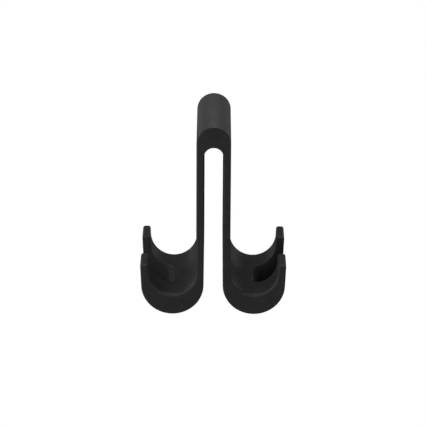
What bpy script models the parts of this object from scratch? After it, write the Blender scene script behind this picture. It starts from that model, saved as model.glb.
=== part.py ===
"""Double headphone hook that straddles the top edge of an upright desk screen.

Metres, +Z up. X runs across the screen's thickness, Y along its edge.
The origin is at the crown of the slot, halfway along the hook's depth, and is where
the screen's top edge carries the hook. The body is one profile in the XZ plane,
extruded along Y, with a notch cut through the outer half of each cradle.
"""

import math

import bmesh
import bpy
from mathutils import Matrix, Vector

# Driving dimensions
DEPTH = 0.087
SLOT_WIDTH = 0.0158
LEG_WALL = 0.0062
BRIDGE_THICKNESS = 0.018
HEIGHT = 0.165
TROUGH_RADIUS = 0.0198
CRADLE_FLOOR = 0.0182
TINE_WALL = 0.006
TINE_RISE = 0.0445
TINE_LEAN = math.radians(2.5)
TINE_TOP_RADIUS = 0.002
NOTCH_WIDTH = 0.036
NOTCH_CORNER = 0.006
EDGE_FILLET = 0.0012
PAD_THICKNESS = 0.0012
PAD_PROUD = 0.0002
PAD_HEIGHT = 0.080
PAD_DEPTH = 0.060
PAD_CORNER = 0.005
PAD_CENTRE_Z = -0.062
FIT_GAP = 0.0003

# Sizes that follow from them
SLOT_RADIUS = SLOT_WIDTH / 2
LEG_OUTSIDE = SLOT_RADIUS + LEG_WALL
ARCH_CENTRE_Z = BRIDGE_THICKNESS - LEG_OUTSIDE
BASE_Z = BRIDGE_THICKNESS - HEIGHT
TROUGH_X = LEG_OUTSIDE + TROUGH_RADIUS
CRADLE_RADIUS = (LEG_WALL + 2 * TROUGH_RADIUS + TINE_WALL) / 2
CRADLE_X = SLOT_RADIUS + CRADLE_RADIUS
CRADLE_CENTRE_Z = BASE_Z + CRADLE_RADIUS
TROUGH_CENTRE_Z = BASE_Z + CRADLE_FLOOR + TROUGH_RADIUS
TINE_TOP_Z = BASE_Z + TINE_RISE
PAD_FACE_X = SLOT_RADIUS - PAD_PROUD
PAD_BACK_X = PAD_FACE_X + PAD_THICKNESS

# Facets in each round stretch
ARCH_STEPS = 28
SLOT_STEPS = 18
CRADLE_STEPS = 40
CORNER_STEPS = 5
FILLET_SEGMENTS = 3
SHARP_ANGLE = math.radians(35)
CUTTER_MARGIN = 0.010


def arc(centre_u, centre_v, radius, start, end, steps):
    """Points of an arc in a plane, both ends included; angles in radians from its first axis."""
    points = []
    for step in range(steps + 1):
        angle = start + (end - start) * step / steps
        points.append((centre_u + radius * math.cos(angle), centre_v + radius * math.sin(angle)))
    return points


def tine_top():
    """The tine's rounded top edges: a small arc on the inner wall's corner, then on the outer's."""
    rise = math.radians(90) - TINE_LEAN
    centre_z = TINE_TOP_Z - TINE_TOP_RADIUS
    slope = math.tan(TINE_LEAN)
    slant = 1 / math.cos(TINE_LEAN)
    inner_x = TROUGH_X + TROUGH_RADIUS * slant + (centre_z - TROUGH_CENTRE_Z) * slope
    outer_x = CRADLE_X + CRADLE_RADIUS * slant + (centre_z - CRADLE_CENTRE_Z) * slope
    inset = TINE_TOP_RADIUS * slant
    points = arc(inner_x + inset, centre_z, TINE_TOP_RADIUS, rise + math.pi / 2, math.pi / 2, CORNER_STEPS)
    points += arc(outer_x - inset, centre_z, TINE_TOP_RADIUS, math.pi / 2, -TINE_LEAN, CORNER_STEPS)
    return points


def right_half_outline():
    """Outline of the body at x > 0, from the arch's top round the cradle to the slot's crown."""
    outline = arc(0.0, ARCH_CENTRE_Z, LEG_OUTSIDE, math.pi / 2, 0.0, ARCH_STEPS // 2)
    outline += arc(TROUGH_X, TROUGH_CENTRE_Z, TROUGH_RADIUS, math.pi, 2 * math.pi - TINE_LEAN, CRADLE_STEPS)
    outline += tine_top()
    outline += arc(CRADLE_X, CRADLE_CENTRE_Z, CRADLE_RADIUS, 2 * math.pi - TINE_LEAN, math.pi, CRADLE_STEPS)
    outline += arc(0.0, -SLOT_RADIUS, SLOT_RADIUS, 0.0, math.pi / 2, SLOT_STEPS // 2)
    return outline


def body_outline():
    """The whole closed outline: the right half, then its mirror image back to the start."""
    right = right_half_outline()
    left = [(-x, z) for x, z in reversed(right)]
    return right + left[1:-1]


def material(name, colour, roughness):
    """A Principled material with the given colour and roughness."""
    result = bpy.data.materials.new(name)
    result.use_nodes = True
    shader = result.node_tree.nodes["Principled BSDF"]
    shader.inputs["Base Color"].default_value = (*colour, 1.0)
    shader.inputs["Roughness"].default_value = roughness
    shader.inputs["Metallic"].default_value = 0.0
    return result


def add_object(name, mesh_data, finish=None):
    """Turn a bmesh into a named object in the scene."""
    bmesh.ops.recalc_face_normals(mesh_data, faces=mesh_data.faces)
    mesh = bpy.data.meshes.new(name)
    mesh_data.to_mesh(mesh)
    mesh_data.free()
    result = bpy.data.objects.new(name, mesh)
    bpy.context.scene.collection.objects.link(result)
    if finish:
        mesh.materials.append(finish)
        mesh.shade_smooth()
        mesh.set_sharp_from_angle(angle=SHARP_ANGLE)
    return result


def prism(points, direction):
    """A closed prism: a flat face through the points, extruded along direction."""
    mesh_data = bmesh.new()
    corners = [mesh_data.verts.new(point) for point in points]
    face = mesh_data.faces.new(corners)
    extruded = bmesh.ops.extrude_face_region(mesh_data, geom=[face])
    moved = [item for item in extruded["geom"] if isinstance(item, bmesh.types.BMVert)]
    bmesh.ops.translate(mesh_data, verts=moved, vec=direction)
    return mesh_data


def make_cutter(name, mesh_data):
    """An object that only cuts others, kept out of the model."""
    cutter = add_object(name, mesh_data)
    cutter.hide_render = True
    cutter.display_type = "WIRE"
    return cutter


def cut(target, cutter):
    """Subtract cutter from target with a Boolean modifier."""
    boolean = target.modifiers.new(cutter.name, "BOOLEAN")
    boolean.operation = "DIFFERENCE"
    boolean.solver = "EXACT"
    boolean.object = cutter


def notch_cutter(side):
    """The space between a cradle's tines, from its centre line outwards, with round inner corners."""
    reach = CRADLE_RADIUS + CUTTER_MARGIN
    base = BASE_Z - CUTTER_MARGIN
    corner_x = NOTCH_CORNER
    corner_y = NOTCH_WIDTH / 2 - NOTCH_CORNER
    outline = [(reach, -NOTCH_WIDTH / 2), (reach, NOTCH_WIDTH / 2)]
    outline += arc(corner_x, corner_y, NOTCH_CORNER, math.pi / 2, math.pi, CORNER_STEPS)
    outline += arc(corner_x, -corner_y, NOTCH_CORNER, math.pi, 3 * math.pi / 2, CORNER_STEPS)
    points = [(side * (CRADLE_X + x), y, base) for x, y in outline]
    height = TINE_RISE + 2 * CUTTER_MARGIN
    name = "right_notch_cutter" if side > 0 else "left_notch_cutter"
    return make_cutter(name, prism(points, Vector((0.0, 0.0, height))))


def pad_prism(side, grow, inner_x, outer_x):
    """A rounded rectangle in the YZ plane, grown by grow all round, from inner_x to outer_x."""
    radius = PAD_CORNER + grow
    reach_y = PAD_DEPTH / 2 - PAD_CORNER
    reach_z = PAD_HEIGHT / 2 - PAD_CORNER
    points = []
    for quarter, (sign_y, sign_z) in enumerate([(1, 1), (-1, 1), (-1, -1), (1, -1)]):
        start = quarter * math.pi / 2
        for y, z in arc(sign_y * reach_y, sign_z * reach_z, radius, start, start + math.pi / 2, CORNER_STEPS):
            points.append((side * inner_x, y, PAD_CENTRE_Z + z))
    return prism(points, Vector((side * (outer_x - inner_x), 0.0, 0.0)))


def pocket_cutter(side):
    """The shallow recess in a leg's inner face that a grip pad is bonded into."""
    name = "right_pocket_cutter" if side > 0 else "left_pocket_cutter"
    inner_x = SLOT_RADIUS / 2
    outer_x = PAD_BACK_X + FIT_GAP
    return make_cutter(name, pad_prism(side, FIT_GAP, inner_x, outer_x))


def hook_body():
    """The moulded body: saddle, two legs and two notched cradles in one piece."""
    points = [(x, -DEPTH / 2, z) for x, z in body_outline()]
    finish = material("matte_black_plastic", (0.035, 0.035, 0.037), 0.62)
    body = add_object("hook_body", prism(points, Vector((0.0, DEPTH, 0.0))), finish)
    for side in (1, -1):
        cut(body, notch_cutter(side))
    fillet = body.modifiers.new("edge_fillet", "BEVEL")
    fillet.width = EDGE_FILLET
    fillet.segments = FILLET_SEGMENTS
    fillet.limit_method = "ANGLE"
    fillet.angle_limit = SHARP_ANGLE
    for side in (1, -1):
        cut(body, pocket_cutter(side))


def grip_pads():
    """A thin silicone pad in each leg's pocket, standing slightly proud of the leg's face."""
    finish = material("black_silicone", (0.022, 0.022, 0.023), 0.8)
    for side, name in ((1, "right_grip_pad"), (-1, "left_grip_pad")):
        add_object(name, pad_prism(side, 0.0, PAD_FACE_X, PAD_BACK_X), finish)


def main():
    for item in list(bpy.data.objects):
        bpy.data.objects.remove(item, do_unlink=True)
    hook_body()
    grip_pads()


main()
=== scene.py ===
import math

import bmesh
import bpy
from mathutils import Matrix, Vector


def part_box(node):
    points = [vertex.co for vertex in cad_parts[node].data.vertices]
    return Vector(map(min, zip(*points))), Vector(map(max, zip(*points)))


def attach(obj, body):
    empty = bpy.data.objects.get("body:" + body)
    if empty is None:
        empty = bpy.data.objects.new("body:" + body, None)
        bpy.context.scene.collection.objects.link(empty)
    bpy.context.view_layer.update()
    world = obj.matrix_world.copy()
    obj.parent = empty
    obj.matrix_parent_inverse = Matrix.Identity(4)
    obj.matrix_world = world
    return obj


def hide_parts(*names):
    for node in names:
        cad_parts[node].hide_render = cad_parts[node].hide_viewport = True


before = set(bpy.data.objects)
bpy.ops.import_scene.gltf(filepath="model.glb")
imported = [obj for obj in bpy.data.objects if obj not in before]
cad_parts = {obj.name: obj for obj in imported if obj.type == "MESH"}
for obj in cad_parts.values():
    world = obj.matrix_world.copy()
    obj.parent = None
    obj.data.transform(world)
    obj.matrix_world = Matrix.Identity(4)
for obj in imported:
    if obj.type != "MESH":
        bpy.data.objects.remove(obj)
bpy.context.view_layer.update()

# Sizes that the frame gives
BODY_LOW, BODY_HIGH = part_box("hook_body")
PAD_LOW, PAD_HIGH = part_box("right_grip_pad")
DEPTH = BODY_HIGH.y - BODY_LOW.y
TOP_Z = BODY_HIGH.z
BASE_Z = BODY_LOW.z

# The moulding's section, in metres, as the CAD has it
SLOT_RADIUS = 0.0079
LEG_WALL = 0.0062
TROUGH_RADIUS = 0.0198
TINE_WALL = 0.006
CRADLE_FLOOR = 0.0182
TINE_HEIGHT = 0.0445
TINE_LEAN = math.radians(2.5)
TINE_TOP_RADIUS = 0.002
NOTCH_WIDTH = 0.036
NOTCH_CORNER = 0.006

# Places and radii that follow from those sizes
TINE_TOP_Z = BASE_Z + TINE_HEIGHT
LEG_OUTSIDE = SLOT_RADIUS + LEG_WALL
ARCH_CENTRE_Z = TOP_Z - LEG_OUTSIDE
TROUGH_X = LEG_OUTSIDE + TROUGH_RADIUS
TROUGH_Z = BASE_Z + CRADLE_FLOOR + TROUGH_RADIUS
CRADLE_RADIUS = LEG_WALL / 2 + TROUGH_RADIUS + TINE_WALL / 2
CRADLE_X = SLOT_RADIUS + CRADLE_RADIUS
CRADLE_Z = BASE_Z + CRADLE_RADIUS

# The space that cuts a notch: how far it reaches outward, where it starts below the base, its height
NOTCH_REACH = 0.04
NOTCH_START = 0.01
NOTCH_HEIGHT = 0.07

# Edge fillets; along the outline they change from one to the next
ARCH_FILLET = 0.0005
LEG_FILLET = 0.0015
LIP_FILLET = 0.0024
TINE_FILLET = 0.0014
UNDER_FILLET = 0.0012
SLOT_FILLET = 0.0013
NOTCH_FILLET = 0.0010

# Facets, and the angle between two of them that counts as an edge
ARCH_STEPS = 32
LEG_STEPS = 16
TROUGH_STEPS = 39
CORNER_STEPS = 8
CROWN_STEPS = 16
FILLET_RINGS = 6
DEPTH_RINGS = 4
NOTCH_FILLET_STEPS = 4
PAD_EDGE_STEPS = 2
GROOVE_STEPS = 16
SHARP_ANGLE = math.radians(35)

# Bend of the surface, in radians per metre, that counts as flat, rounded, crisp and sharp, for the painted
# edge highlight
FLAT_BEND = 120.0
ROUNDED_BEND = 330.0
CRISP_BEND = 1150.0
SHARP_BEND = 1500.0

# The grip pads
PAD_CORNER = 0.005
PAD_GAP = 0.0003
PAD_RIM = 0.003
PAD_EDGE = 0.00015
GROOVE_PITCH = 0.0025
GROOVE_RADIUS = 0.0008
GROOVE_DEPTH = 0.0004

# The plastic's colours: two for its mottling, then its flecks, its grain, and the paler tone of its rounded
# edges, a painted highlight that partly stands for rubbed wear
DARK_PATCH = (0.021, 0.021, 0.0222)
PALE_PATCH = (0.032, 0.032, 0.0336)
FLECK = (0.042, 0.042, 0.044)
GRAIN = (0.050, 0.050, 0.052)
# Painted highlight colour for rounded edges, partly standing for rubbed wear
HIGHLIGHT_RUBBED_EDGE = (0.068, 0.068, 0.070)

# The silicone's colours, clean and dusty
CLEAN_SILICONE = (0.018, 0.018, 0.019)
DUSTY_SILICONE = (0.034, 0.034, 0.035)

# The studio
WHITE = (1.0, 1.0, 1.0, 1.0)
FLOOR_COLOUR = (0.8, 0.8, 0.8, 1.0)
FLOOR_ROUGHNESS = 0.9
FLOOR_DROP = 1.0
FLOOR_SIZE = 12.0
AMBIENT_STRENGTH = 0.04

# One small softbox close above the hook and behind it: degrees, metres and watts
NEAR_AZIMUTH = 180
NEAR_ELEVATION = 76
NEAR_DISTANCE = 0.3
NEAR_SIZE = 0.2
NEAR_SPREAD = math.pi
NEAR_POWER = 0.5

# Large softboxes further off, all round it; the table gives name, azimuth in degrees and watts
FAR_ELEVATION = 8
FAR_DISTANCE = 2.4
FAR_SIZE = 1.0
FAR_SPREAD = math.radians(60)
FAR_SOFTBOXES = (
    ("front_softbox", 0, 1.3),
    ("front_left_softbox", -45, 2.1),
    ("left_softbox", -90, 1.9),
    ("right_softbox", 90, 1.2),
    ("rear_left_softbox", -135, 0.6),
    ("rear_right_softbox", 135, 0.6),
)

# The camera: a long lens looking down at the hook from in front, turned slightly off its aim
AIM = Vector((0.0, 0.0, -0.062))
CAMERA_DISTANCE = 1.9
CAMERA_ELEVATION = math.radians(21.5)
CAMERA_ROLL = math.radians(0.30)
AIM_BELOW = math.radians(0.3231)
AIM_BESIDE = math.radians(0.0126)
LENS_MM = 191.83
SENSOR_MM = 36.0

# Sockets that share their name with others of the same node, by number
MIX_FIRST_COLOUR = 6
MIX_SECOND_COLOUR = 7
MIX_COLOUR_RESULT = 2
FIRST_SHADER = 1
SECOND_SHADER = 2


# ---------------------------------------------------------------- outline

def sweep(centre, radius, start, end, steps, fillets, hollow=False):
    """Outline points along an arc: x, z, the angle of the outward normal, and the edge fillet there.
    fillets gives the fillet at the arc's start, middle and end; hollow is for an arc seen from inside."""
    points = []
    for step in range(steps + 1):
        share = step / steps
        angle = start + (end - start) * share
        x = centre[0] + radius * math.cos(angle)
        z = centre[1] + radius * math.sin(angle)
        first, middle, last = fillets
        bow = math.sin(math.pi * share) ** 2
        fillet = (first + (last - first) * share) * (1 - bow) + middle * bow
        points.append((x, z, angle + (math.pi if hollow else 0.0), fillet))
    return points


def straight(x, start_z, end_z, normal, fillet):
    """Outline points inside an upright straight stretch, without its two ends."""
    points = []
    for step in range(1, LEG_STEPS):
        points.append((x, start_z + (end_z - start_z) * step / LEG_STEPS, normal, fillet))
    return points


def tine_top():
    """The tine's two rounded top edges."""
    lean_x = math.tan(TINE_LEAN)
    slant = 1 / math.cos(TINE_LEAN)
    centre_z = TINE_TOP_Z - TINE_TOP_RADIUS
    inner_x = TROUGH_X + TROUGH_RADIUS * slant + (centre_z - TROUGH_Z) * lean_x
    outer_x = CRADLE_X + CRADLE_RADIUS * slant + (centre_z - CRADLE_Z) * lean_x
    inset = TINE_TOP_RADIUS * slant
    fillets = (TINE_FILLET, TINE_FILLET, TINE_FILLET)
    inner = ((inner_x + inset, centre_z), math.pi - TINE_LEAN, math.pi / 2)
    outer = ((outer_x - inset, centre_z), math.pi / 2, -TINE_LEAN)
    points = []
    for centre, start, end in (inner, outer):
        points += sweep(centre, TINE_TOP_RADIUS, start, end, CORNER_STEPS, fillets)
    return points


def right_outline():
    """The section's right half, from the top of the arch round the cradle to the slot's crown."""
    full = 2 * math.pi
    arch = (ARCH_FILLET, ARCH_FILLET, LEG_FILLET)
    points = sweep((0.0, ARCH_CENTRE_Z), LEG_OUTSIDE, math.pi / 2, 0.0, ARCH_STEPS, arch)
    points += straight(LEG_OUTSIDE, ARCH_CENTRE_Z, TROUGH_Z, 0.0, LEG_FILLET)
    lip = (LEG_FILLET, LIP_FILLET, TINE_FILLET)
    points += sweep((TROUGH_X, TROUGH_Z), TROUGH_RADIUS, math.pi, full - TINE_LEAN, TROUGH_STEPS, lip, True)
    points += tine_top()
    under = (TINE_FILLET, UNDER_FILLET, SLOT_FILLET)
    points += sweep((CRADLE_X, CRADLE_Z), CRADLE_RADIUS, full - TINE_LEAN, math.pi, TROUGH_STEPS, under)
    points += straight(SLOT_RADIUS, CRADLE_Z, -SLOT_RADIUS, math.pi, SLOT_FILLET)
    crown = (SLOT_FILLET,) * 3
    points += sweep((0.0, -SLOT_RADIUS), SLOT_RADIUS, 0.0, math.pi / 2, CROWN_STEPS, crown, True)
    return points


def whole_outline():
    """Both halves as one closed loop."""
    right = right_outline()
    left = [(-x, z, math.pi - normal, fillet) for x, z, normal, fillet in reversed(right)]
    return right + left[1:-1]


# ---------------------------------------------------------------- mesh helpers

def link(name, mesh_data):
    """Turn a bmesh into an object in the scene."""
    bmesh.ops.recalc_face_normals(mesh_data, faces=mesh_data.faces)
    mesh = bpy.data.meshes.new(name)
    mesh_data.to_mesh(mesh)
    mesh_data.free()
    result = bpy.data.objects.new(name, mesh)
    bpy.context.scene.collection.objects.link(result)
    return result


def add_prism(mesh_data, points, direction):
    """Add a closed prism: a face through the points, extruded along direction."""
    face = mesh_data.faces.new([mesh_data.verts.new(point) for point in points])
    extruded = bmesh.ops.extrude_face_region(mesh_data, geom=[face])
    moved = [item for item in extruded["geom"] if isinstance(item, bmesh.types.BMVert)]
    bmesh.ops.translate(mesh_data, verts=moved, vec=Vector(direction))


def prism(name, points, direction):
    """An object that is one closed prism."""
    mesh_data = bmesh.new()
    add_prism(mesh_data, points, direction)
    return link(name, mesh_data)


def cut(target, tool):
    """Add an exact Boolean modifier that takes tool away from target."""
    modifier = target.modifiers.new(tool.name, "BOOLEAN")
    modifier.operation = "DIFFERENCE"
    modifier.solver = "EXACT"
    modifier.object = tool


def bake_modifiers(item, tools):
    """Replace an object's mesh with its evaluated one, and remove the objects its Booleans used."""
    graph = bpy.context.evaluated_depsgraph_get()
    mesh = bpy.data.meshes.new_from_object(item.evaluated_get(graph))
    item.modifiers.clear()
    item.data = mesh
    for tool in tools:
        bpy.data.objects.remove(tool, do_unlink=True)


def arc_points(centre, radius, start, end, steps):
    """Plain points of an arc, both ends included."""
    angles = [start + (end - start) * step / steps for step in range(steps + 1)]
    return [(centre[0] + radius * math.cos(a), centre[1] + radius * math.sin(a)) for a in angles]


# ---------------------------------------------------------------- the moulding

def ring_levels(fillet):
    """Inset and distance from the end face of each ring, from the end face to mid depth."""
    levels = []
    for ring in range(FILLET_RINGS + 1):
        angle = math.pi / 2 * ring / FILLET_RINGS
        levels.append((fillet * (1 - math.sin(angle)), fillet * (1 - math.cos(angle))))
    for ring in range(1, DEPTH_RINGS + 1):
        share = ring / DEPTH_RINGS
        levels.append((0.0, fillet + (DEPTH / 2 - fillet) * share))
    return levels


def lofted_section():
    """The outline lofted along the depth, its end edges rounded by the fillet at each point."""
    outline = whole_outline()
    mesh_data = bmesh.new()
    columns = []
    for x, z, normal, fillet in outline:
        half = ring_levels(fillet)
        levels = [(inset, -DEPTH / 2 + along) for inset, along in half]
        levels += [(inset, DEPTH / 2 - along) for inset, along in reversed(half[:-1])]
        column = []
        for inset, y in levels:
            spot = (x - inset * math.cos(normal), y, z - inset * math.sin(normal))
            column.append(mesh_data.verts.new(spot))
        columns.append(column)
    for first, second in zip(columns, columns[1:] + columns[:1]):
        for ring in range(len(first) - 1):
            corners = (first[ring], second[ring], second[ring + 1], first[ring + 1])
            mesh_data.faces.new(corners)
    mesh_data.faces.new([column[0] for column in columns])
    mesh_data.faces.new([column[-1] for column in reversed(columns)])
    return mesh_data


def notch_tool(side):
    """The space between a cradle's front and rear tines, with round inner corners."""
    half = NOTCH_WIDTH / 2
    straight_y = half - NOTCH_CORNER
    outline = [(NOTCH_REACH, -half), (NOTCH_REACH, half)]
    outline += arc_points((NOTCH_CORNER, straight_y), NOTCH_CORNER, math.pi / 2, math.pi, CORNER_STEPS)
    outline += arc_points((NOTCH_CORNER, -straight_y), NOTCH_CORNER, math.pi, 1.5 * math.pi, CORNER_STEPS)
    points = [(side * (CRADLE_X + x), y, BASE_Z - NOTCH_START) for x, y in outline]
    return prism("notch_tool", points, (0.0, 0.0, NOTCH_HEIGHT))


def pad_outline(grow):
    """A grip pad's rounded rectangle in the YZ plane, grown by grow all round."""
    centre_z = (PAD_LOW.z + PAD_HIGH.z) / 2
    reach_y = PAD_HIGH.y - PAD_CORNER
    reach_z = (PAD_HIGH.z - PAD_LOW.z) / 2 - PAD_CORNER
    points = []
    for quarter, (sign_y, sign_z) in enumerate([(1, 1), (-1, 1), (-1, -1), (1, -1)]):
        start = quarter * math.pi / 2
        centre = (sign_y * reach_y, centre_z + sign_z * reach_z)
        points += arc_points(centre, PAD_CORNER + grow, start, start + math.pi / 2, CORNER_STEPS)
    return points


def pocket_tool(side):
    """The shallow recess behind a grip pad."""
    points = [(side * SLOT_RADIUS / 2, y, z) for y, z in pad_outline(PAD_GAP)]
    reach = PAD_HIGH.x + PAD_GAP - SLOT_RADIUS / 2
    return prism("pocket_tool", points, (side * reach, 0.0, 0.0))


def mark_painted_edge_highlight(mesh):
    """Store how much of the painted edge highlight, partly standing for rubbed wear, each vertex gets: 1 on
    rounded edges, 0 on flats and on crisp edges.
    """
    mesh_data = bmesh.new()
    mesh_data.from_mesh(mesh)
    edge_highlight_and_rub = []
    for vertex in mesh_data.verts:
        bend = 0.0
        for edge in vertex.link_edges:
            if len(edge.link_faces) == 2 and edge.is_convex:
                width = sum(face.calc_area() for face in edge.link_faces) / 2 / edge.calc_length()
                bend = max(bend, edge.calc_face_angle() / width)
        rounded = (bend - FLAT_BEND) / (ROUNDED_BEND - FLAT_BEND)
        crisp = (bend - CRISP_BEND) / (SHARP_BEND - CRISP_BEND)
        edge_highlight_and_rub.append(min(max(rounded, 0.0), 1.0) * (1.0 - min(max(crisp, 0.0), 1.0)))
    mesh_data.free()
    layer = mesh.attributes.new("painted_edge_highlight_and_wear", "FLOAT", "POINT")
    layer.data.foreach_set("value", edge_highlight_and_rub)


def bevel(target, name, width, segments):
    """Add a modifier that rounds target's sharp edges, and return it."""
    modifier = target.modifiers.new(name, "BEVEL")
    modifier.width = width
    modifier.segments = segments
    modifier.limit_method = "ANGLE"
    modifier.angle_limit = SHARP_ANGLE
    return modifier


def shade(item, finish):
    """Give item its material, and smooth shading everywhere but across sharp edges."""
    item.data.materials.clear()
    item.data.materials.append(finish)
    item.data.shade_smooth()
    item.data.set_sharp_from_angle(angle=SHARP_ANGLE)


def make_body(finish):
    """The moulding: the lofted section, less its two notches and the two pockets behind the grip pads."""
    body = link("hook_moulding", lofted_section())
    notches = [notch_tool(side) for side in (1, -1)]
    for tool in notches:
        cut(body, tool)
    rounding = bevel(body, "notch_fillet", NOTCH_FILLET, NOTCH_FILLET_STEPS)
    rounding.use_clamp_overlap = False
    pockets = [pocket_tool(side) for side in (1, -1)]
    for tool in pockets:
        cut(body, tool)
    bake_modifiers(body, notches + pockets)
    # Marks where the painted edge highlight goes
    mark_painted_edge_highlight(body.data)
    shade(body, finish)
    weighted = body.modifiers.new("even_shading", "WEIGHTED_NORMAL")
    weighted.keep_sharp = True
    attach(body, "root")
    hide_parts("hook_body")


# ---------------------------------------------------------------- the grip pads

def pad_slab(side):
    """A plain slab of the pad's outline and thickness."""
    points = [(side * PAD_LOW.x, y, z) for y, z in pad_outline(0.0)]
    return prism("pad_slab", points, (side * (PAD_HIGH.x - PAD_LOW.x), 0.0, 0.0))


def groove_tool(side):
    """One long closed body for each level groove, all stopping short of the pad's rim."""
    mesh_data = bmesh.new()
    half_length = PAD_HIGH.y - PAD_RIM
    bottom = PAD_LOW.z + PAD_RIM
    count = round((PAD_HIGH.z - PAD_LOW.z - 2 * PAD_RIM) / GROOVE_PITCH)
    for index in range(count):
        z = bottom + GROOVE_PITCH * (index + 0.5)
        centre = (PAD_LOW.x - GROOVE_RADIUS + GROOVE_DEPTH, z)
        section = arc_points(centre, GROOVE_RADIUS, 0.0, 2 * math.pi, GROOVE_STEPS)
        ring = [(side * x, -half_length, height) for x, height in section[:-1]]
        add_prism(mesh_data, ring, (0.0, 2 * half_length, 0.0))
    return link("groove_tool", mesh_data)


def make_pad(side, name, node, finish):
    """A grip pad with a plain rim and level grooves, its outer edges softened."""
    pad = pad_slab(side)
    pad.name = name
    grooves = groove_tool(side)
    bevel(pad, "rim", PAD_EDGE, PAD_EDGE_STEPS)
    cut(pad, grooves)
    bake_modifiers(pad, [grooves])
    shade(pad, finish)
    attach(pad, "root")
    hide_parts(node)


# ---------------------------------------------------------------- materials

class Nodes:
    """A material's node tree, with short calls to add nodes and join them."""

    def __init__(self, name):
        self.material = bpy.data.materials.new(name)
        self.material.use_nodes = True
        self.tree = self.material.node_tree
        self.shader = self.tree.nodes["Principled BSDF"]
        coordinates = self.tree.nodes.new("ShaderNodeTexCoord")
        self.place = coordinates.outputs["Object"]

    def join(self, source, target):
        self.tree.links.new(source, target)

    def noise(self, scale, detail, roughness):
        """Noise in object space; scale is in cycles per metre."""
        node = self.tree.nodes.new("ShaderNodeTexNoise")
        node.inputs["Scale"].default_value = scale
        node.inputs["Detail"].default_value = detail
        node.inputs["Roughness"].default_value = roughness
        self.join(self.place, node.inputs["Vector"])
        return node.outputs["Fac"]

    def remap(self, source, old_range, new_range):
        """The source stretched from one range to another, and held at its ends."""
        node = self.tree.nodes.new("ShaderNodeMapRange")
        for name, value in zip(("From Min", "From Max", "To Min", "To Max"), (*old_range, *new_range)):
            node.inputs[name].default_value = value
        self.join(source, node.inputs["Value"])
        return node.outputs["Result"]

    def maths(self, operation, first, second):
        """One operation on two parts; each may be a number or a socket."""
        node = self.tree.nodes.new("ShaderNodeMath")
        node.operation = operation
        for socket, value in zip(node.inputs, (first, second)):
            if isinstance(value, float):
                socket.default_value = value
            else:
                self.join(value, socket)
        return node.outputs["Value"]

    def mix(self, share, first, second):
        """A colour between two; each may be a colour or a socket."""
        node = self.tree.nodes.new("ShaderNodeMix")
        node.data_type = "RGBA"
        self.join(share, node.inputs["Factor"])
        sockets = (node.inputs[MIX_FIRST_COLOUR], node.inputs[MIX_SECOND_COLOUR])
        for socket, value in zip(sockets, (first, second)):
            if isinstance(value, tuple):
                socket.default_value = (*value, 1.0)
            else:
                self.join(value, socket)
        return node.outputs[MIX_COLOUR_RESULT]

    def bump(self, height, strength, distance, below=None):
        """A normal tilted by height, over another bump if below is given."""
        node = self.tree.nodes.new("ShaderNodeBump")
        node.inputs["Strength"].default_value = strength
        node.inputs["Distance"].default_value = distance
        self.join(height, node.inputs["Height"])
        if below:
            self.join(below, node.inputs["Normal"])
        return node.outputs["Normal"]


def matte_plastic():
    """Near-black moulded plastic: fine spark-eroded grain, faint mottling, rounded edges painted slightly
    paler as a painted highlight that partly stands for rubbing.
    """
    nodes = Nodes("matte_black_plastic")
    grain = nodes.noise(scale=2600.0, detail=3.0, roughness=0.6)
    mottle = nodes.noise(scale=120.0, detail=3.0, roughness=0.55)
    cloud = nodes.noise(scale=28.0, detail=2.0, roughness=0.5)
    fleck = nodes.noise(scale=520.0, detail=2.0, roughness=0.5)
    # The rounded edges' paler colour is a painted highlight, partly standing for rubbed wear; the same mask
    # also lowers the roughness there
    edge_highlight_and_rub = nodes.tree.nodes.new("ShaderNodeAttribute")
    edge_highlight_and_rub.attribute_name = "painted_edge_highlight_and_wear"
    highlight_and_scuff_mask = nodes.maths("MULTIPLY", edge_highlight_and_rub.outputs["Fac"], nodes.remap(mottle, (0.35, 0.7), (0.4, 1.0)))
    blotchy = nodes.mix(nodes.remap(mottle, (0.3, 0.7), (0.0, 1.0)), DARK_PATCH, PALE_PATCH)
    base = nodes.mix(nodes.remap(fleck, (0.3, 0.7), (0.0, 0.4)), blotchy, FLECK)
    speckled = nodes.mix(nodes.remap(grain, (0.56, 0.74), (0.0, 0.6)), base, GRAIN)
    # Base colour lightened on rounded edges: painted highlight
    highlit_and_worn = nodes.mix(nodes.maths("MULTIPLY", highlight_and_scuff_mask, 0.5), speckled, HIGHLIGHT_RUBBED_EDGE)
    nodes.join(highlit_and_worn, nodes.shader.inputs["Base Color"])
    uneven = nodes.remap(cloud, (0.3, 0.7), (0.52, 0.60))
    polish = nodes.maths("MULTIPLY", highlight_and_scuff_mask, 0.10)
    nodes.join(nodes.maths("SUBTRACT", uneven, polish), nodes.shader.inputs["Roughness"])
    nodes.shader.inputs["Specular IOR Level"].default_value = 0.3
    nodes.shader.inputs["Sheen Weight"].default_value = 0.03
    nodes.shader.inputs["Sheen Roughness"].default_value = 0.4
    ripple = nodes.bump(cloud, strength=0.15, distance=0.0004)
    pebble = nodes.bump(mottle, strength=0.20, distance=0.00012, below=ripple)
    texture = nodes.bump(grain, strength=0.45, distance=0.00004, below=pebble)
    nodes.join(texture, nodes.shader.inputs["Normal"])
    return nodes.material


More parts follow.
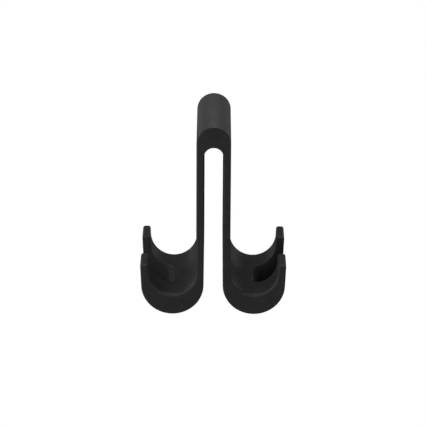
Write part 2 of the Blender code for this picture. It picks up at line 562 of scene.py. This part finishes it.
def silicone():
    """Soft black silicone with a dusty, slightly uneven face."""
    nodes = Nodes("black_silicone")
    dust = nodes.noise(scale=700.0, detail=4.0, roughness=0.65)
    patch = nodes.noise(scale=60.0, detail=2.0, roughness=0.5)
    dusty = nodes.mix(nodes.remap(dust, (0.45, 0.75), (0.0, 1.0)), CLEAN_SILICONE, DUSTY_SILICONE)
    nodes.join(dusty, nodes.shader.inputs["Base Color"])
    nodes.join(nodes.remap(patch, (0.3, 0.7), (0.68, 0.82)), nodes.shader.inputs["Roughness"])
    nodes.shader.inputs["Sheen Weight"].default_value = 0.15
    nodes.join(nodes.bump(dust, strength=0.3, distance=0.00006), nodes.shader.inputs["Normal"])
    return nodes.material


def white_to_camera(tree, lighting, output):
    """Join lighting to output, with plain white in its place wherever the camera looks straight at it."""
    is_world = output.node.type == "OUTPUT_WORLD"
    seen = tree.nodes.new("ShaderNodeBackground" if is_world else "ShaderNodeEmission")
    seen.inputs["Color"].default_value = WHITE
    path = tree.nodes.new("ShaderNodeLightPath")
    choose = tree.nodes.new("ShaderNodeMixShader")
    tree.links.new(path.outputs["Is Camera Ray"], choose.inputs["Fac"])
    tree.links.new(lighting, choose.inputs[FIRST_SHADER])
    tree.links.new(seen.outputs[0], choose.inputs[SECOND_SHADER])
    tree.links.new(choose.outputs["Shader"], output)


def studio_white():
    """A plain pale studio surface, which the camera sees as burnt out to white."""
    nodes = Nodes("studio_white")
    nodes.shader.inputs["Base Color"].default_value = FLOOR_COLOUR
    nodes.shader.inputs["Roughness"].default_value = FLOOR_ROUGHNESS
    output = nodes.tree.nodes["Material Output"].inputs["Surface"]
    white_to_camera(nodes.tree, nodes.shader.outputs["BSDF"], output)
    return nodes.material


# ---------------------------------------------------------------- studio

def make_floor():
    """A wide pale floor, well below the hook, as it hangs from a screen."""
    mesh_data = bmesh.new()
    bmesh.ops.create_grid(mesh_data, x_segments=1, y_segments=1, size=FLOOR_SIZE / 2)
    floor = link("studio_floor", mesh_data)
    floor.location = (0.0, 0.0, BASE_Z - FLOOR_DROP)
    floor.data.materials.append(studio_white())


def softbox(name, azimuth, elevation, distance, size, spread, power):
    """A square area light aimed at the hook; azimuth 0 is the camera's side and 90 the right."""
    data = bpy.data.lights.new(name, "AREA")
    data.shape = "SQUARE"
    data.size = size
    data.energy = power
    data.spread = spread
    light = bpy.data.objects.new(name, data)
    bpy.context.scene.collection.objects.link(light)
    turn = math.radians(azimuth)
    rise = math.radians(elevation)
    away = Vector((math.sin(turn) * math.cos(rise), -math.cos(turn) * math.cos(rise), math.sin(rise)))
    light.location = AIM + away * distance
    light.rotation_mode = "QUATERNION"
    light.rotation_quaternion = away.to_track_quat("Z", "Y")
    light.visible_camera = False


def make_lights():
    """The small softbox above the hook and the large ones round it."""
    softbox("near_top_softbox", NEAR_AZIMUTH, NEAR_ELEVATION, NEAR_DISTANCE, NEAR_SIZE,
            NEAR_SPREAD, NEAR_POWER)
    for name, azimuth, power in FAR_SOFTBOXES:
        softbox(name, azimuth, FAR_ELEVATION, FAR_DISTANCE, FAR_SIZE, FAR_SPREAD, power)


def make_world():
    """Even ambient light, seen by the camera as white."""
    world = bpy.data.worlds.new("studio")
    world.use_nodes = True
    tree = world.node_tree
    lighting = tree.nodes["Background"]
    lighting.inputs["Color"].default_value = WHITE
    lighting.inputs["Strength"].default_value = AMBIENT_STRENGTH
    white_to_camera(tree, lighting.outputs["Background"], tree.nodes["World Output"].inputs["Surface"])
    bpy.context.scene.world = world


def make_camera():
    """The camera, in front of the hook and above it."""
    data = bpy.data.cameras.new("camera")
    data.sensor_width = SENSOR_MM
    data.lens = LENS_MM
    camera = bpy.data.objects.new("camera", data)
    bpy.context.scene.collection.objects.link(camera)
    back = Vector((0.0, -math.cos(CAMERA_ELEVATION), math.sin(CAMERA_ELEVATION)))
    turn = Matrix.Rotation(AIM_BESIDE, 4, "Z")
    pitch = Matrix.Rotation(math.pi / 2 - CAMERA_ELEVATION - AIM_BELOW, 4, "X")
    roll = Matrix.Rotation(CAMERA_ROLL, 4, "Z")
    camera.matrix_world = Matrix.Translation(AIM + back * CAMERA_DISTANCE) @ turn @ pitch @ roll
    bpy.context.scene.camera = camera


make_camera()
plastic = matte_plastic()
rubber = silicone()
make_body(plastic)
make_pad(1, "right_grooved_pad", "right_grip_pad", rubber)
make_pad(-1, "left_grooved_pad", "left_grip_pad", rubber)
make_floor()
make_world()
make_lights()
bpy.context.scene.view_settings.view_transform = "Standard"
